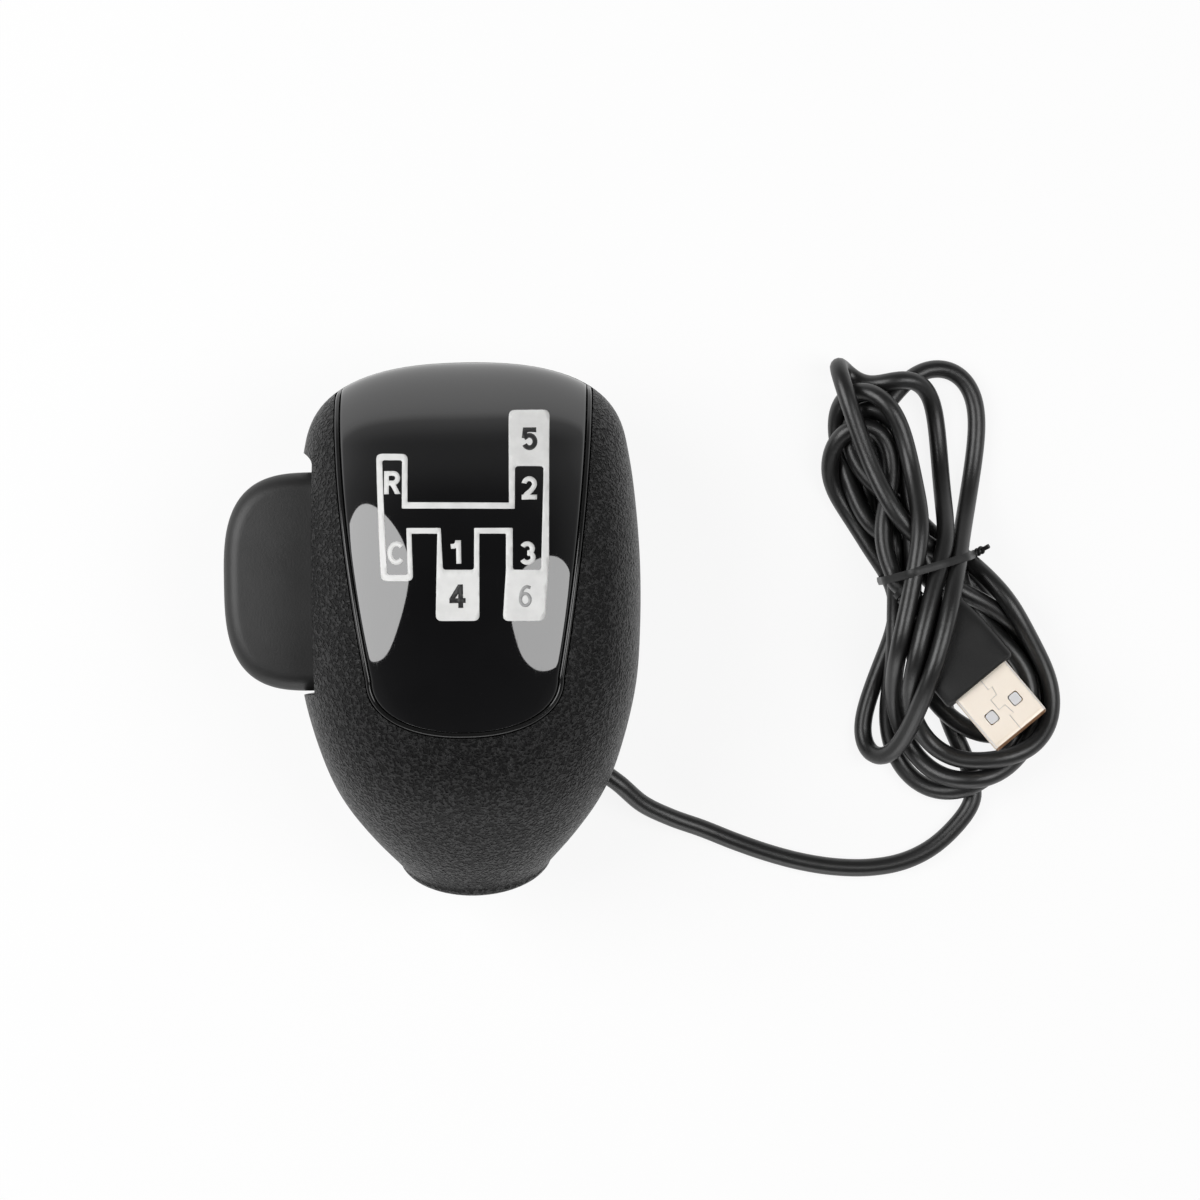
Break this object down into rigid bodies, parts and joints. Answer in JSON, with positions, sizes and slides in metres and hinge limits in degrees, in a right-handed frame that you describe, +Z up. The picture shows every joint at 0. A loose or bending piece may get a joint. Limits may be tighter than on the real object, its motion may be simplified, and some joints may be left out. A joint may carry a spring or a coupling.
{
  "type": "gear shift knob",
  "caption": "Moulded gear shift knob for driving games with a glossy shift-pattern panel, a side range paddle, a lever bore and a tied cable with a flat plug.",
  "frame": {"origin": "centre of the knob's footprint, paddle included and cable left out, on the surface that its back lies on", "axes": "+Z up out of the panel, +Y from the neck to the front, +X away from the paddle"},
  "size_m": [0.1596, 0.0997, 0.0577],
  "materials": {
    "grip_plastic": "moulded grain",
    "panel_gloss": "polished",
    "trim_gloss": "polished",
    "sleeve_metal": "turned",
    "dark_steel": "black oxide",
    "paddle_plastic": "satin",
    "bright_steel": "zinc plated",
    "bracket_plastic": "moulded",
    "switch_plastic": "moulded",
    "plunger_plastic": "moulded",
    "board_green": "solder resist",
    "chip_black": "moulded",
    "socket_plastic": "moulded",
    "cable_jacket": "satin jacket",
    "tie_plastic": "satin",
    "plug_moulding": "satin",
    "plug_metal": "nickel plated",
    "tongue_plastic": "moulded",
    "contact_gold": "gold flash"
  },
  "bodies": {
    "knob": {"top_shell": "grip_plastic", "rear_shell": "grip_plastic", "face_panel": "panel_gloss", "panel_trim": "trim_gloss", "lever_sleeve": "sleeve_metal", "set_screws": "dark_steel", "paddle_pin": "bright_steel", "switch_bracket": "bracket_plastic", "bracket_screws": "bright_steel", "upper_switch": "switch_plastic", "lower_switch": "switch_plastic", "toggle_spring": "bright_steel", "control_board": "board_green", "board_chip": "chip_black", "board_socket": "socket_plastic", "board_screws": "bright_steel", "shell_screws": "dark_steel", "cable_gland": "cable_jacket", "inner_cable": "cable_jacket", "cable_lead": "cable_jacket", "cable_hank": "cable_jacket", "hank_tie": "tie_plastic", "plug_grip": "plug_moulding", "plug_shell": "plug_metal", "plug_tongue": "tongue_plastic", "plug_contacts": "contact_gold"},
    "paddle": {"range_paddle": "paddle_plastic"},
    "upper_button": {"upper_plunger": "plunger_plastic"},
    "lower_button": {"lower_plunger": "plunger_plastic"}
  },
  "joints": [
    {"name": "paddle_tilt", "type": "hinge", "parent": "knob", "child": "paddle", "pos_m": [-0.0154, 0.00943, 0.029], "axis": [0, 1, 0], "range_deg": [0, 14], "deforming": ["toggle_spring"]},
    {"name": "upper_press", "type": "slide", "parent": "knob", "child": "upper_button", "axis": [0, 0, -1], "range_m": [0, 0.0023]},
    {"name": "lower_press", "type": "slide", "parent": "knob", "child": "lower_button", "axis": [0, 0, -1], "range_m": [0, 0.0028]}
  ],
  "couplings": [
    {"joint": "upper_press", "follows": "paddle_tilt", "m_per_rad": 0.009004},
    {"joint": "lower_press", "follows": "paddle_tilt", "m_per_rad": 0.010845}
  ]
}
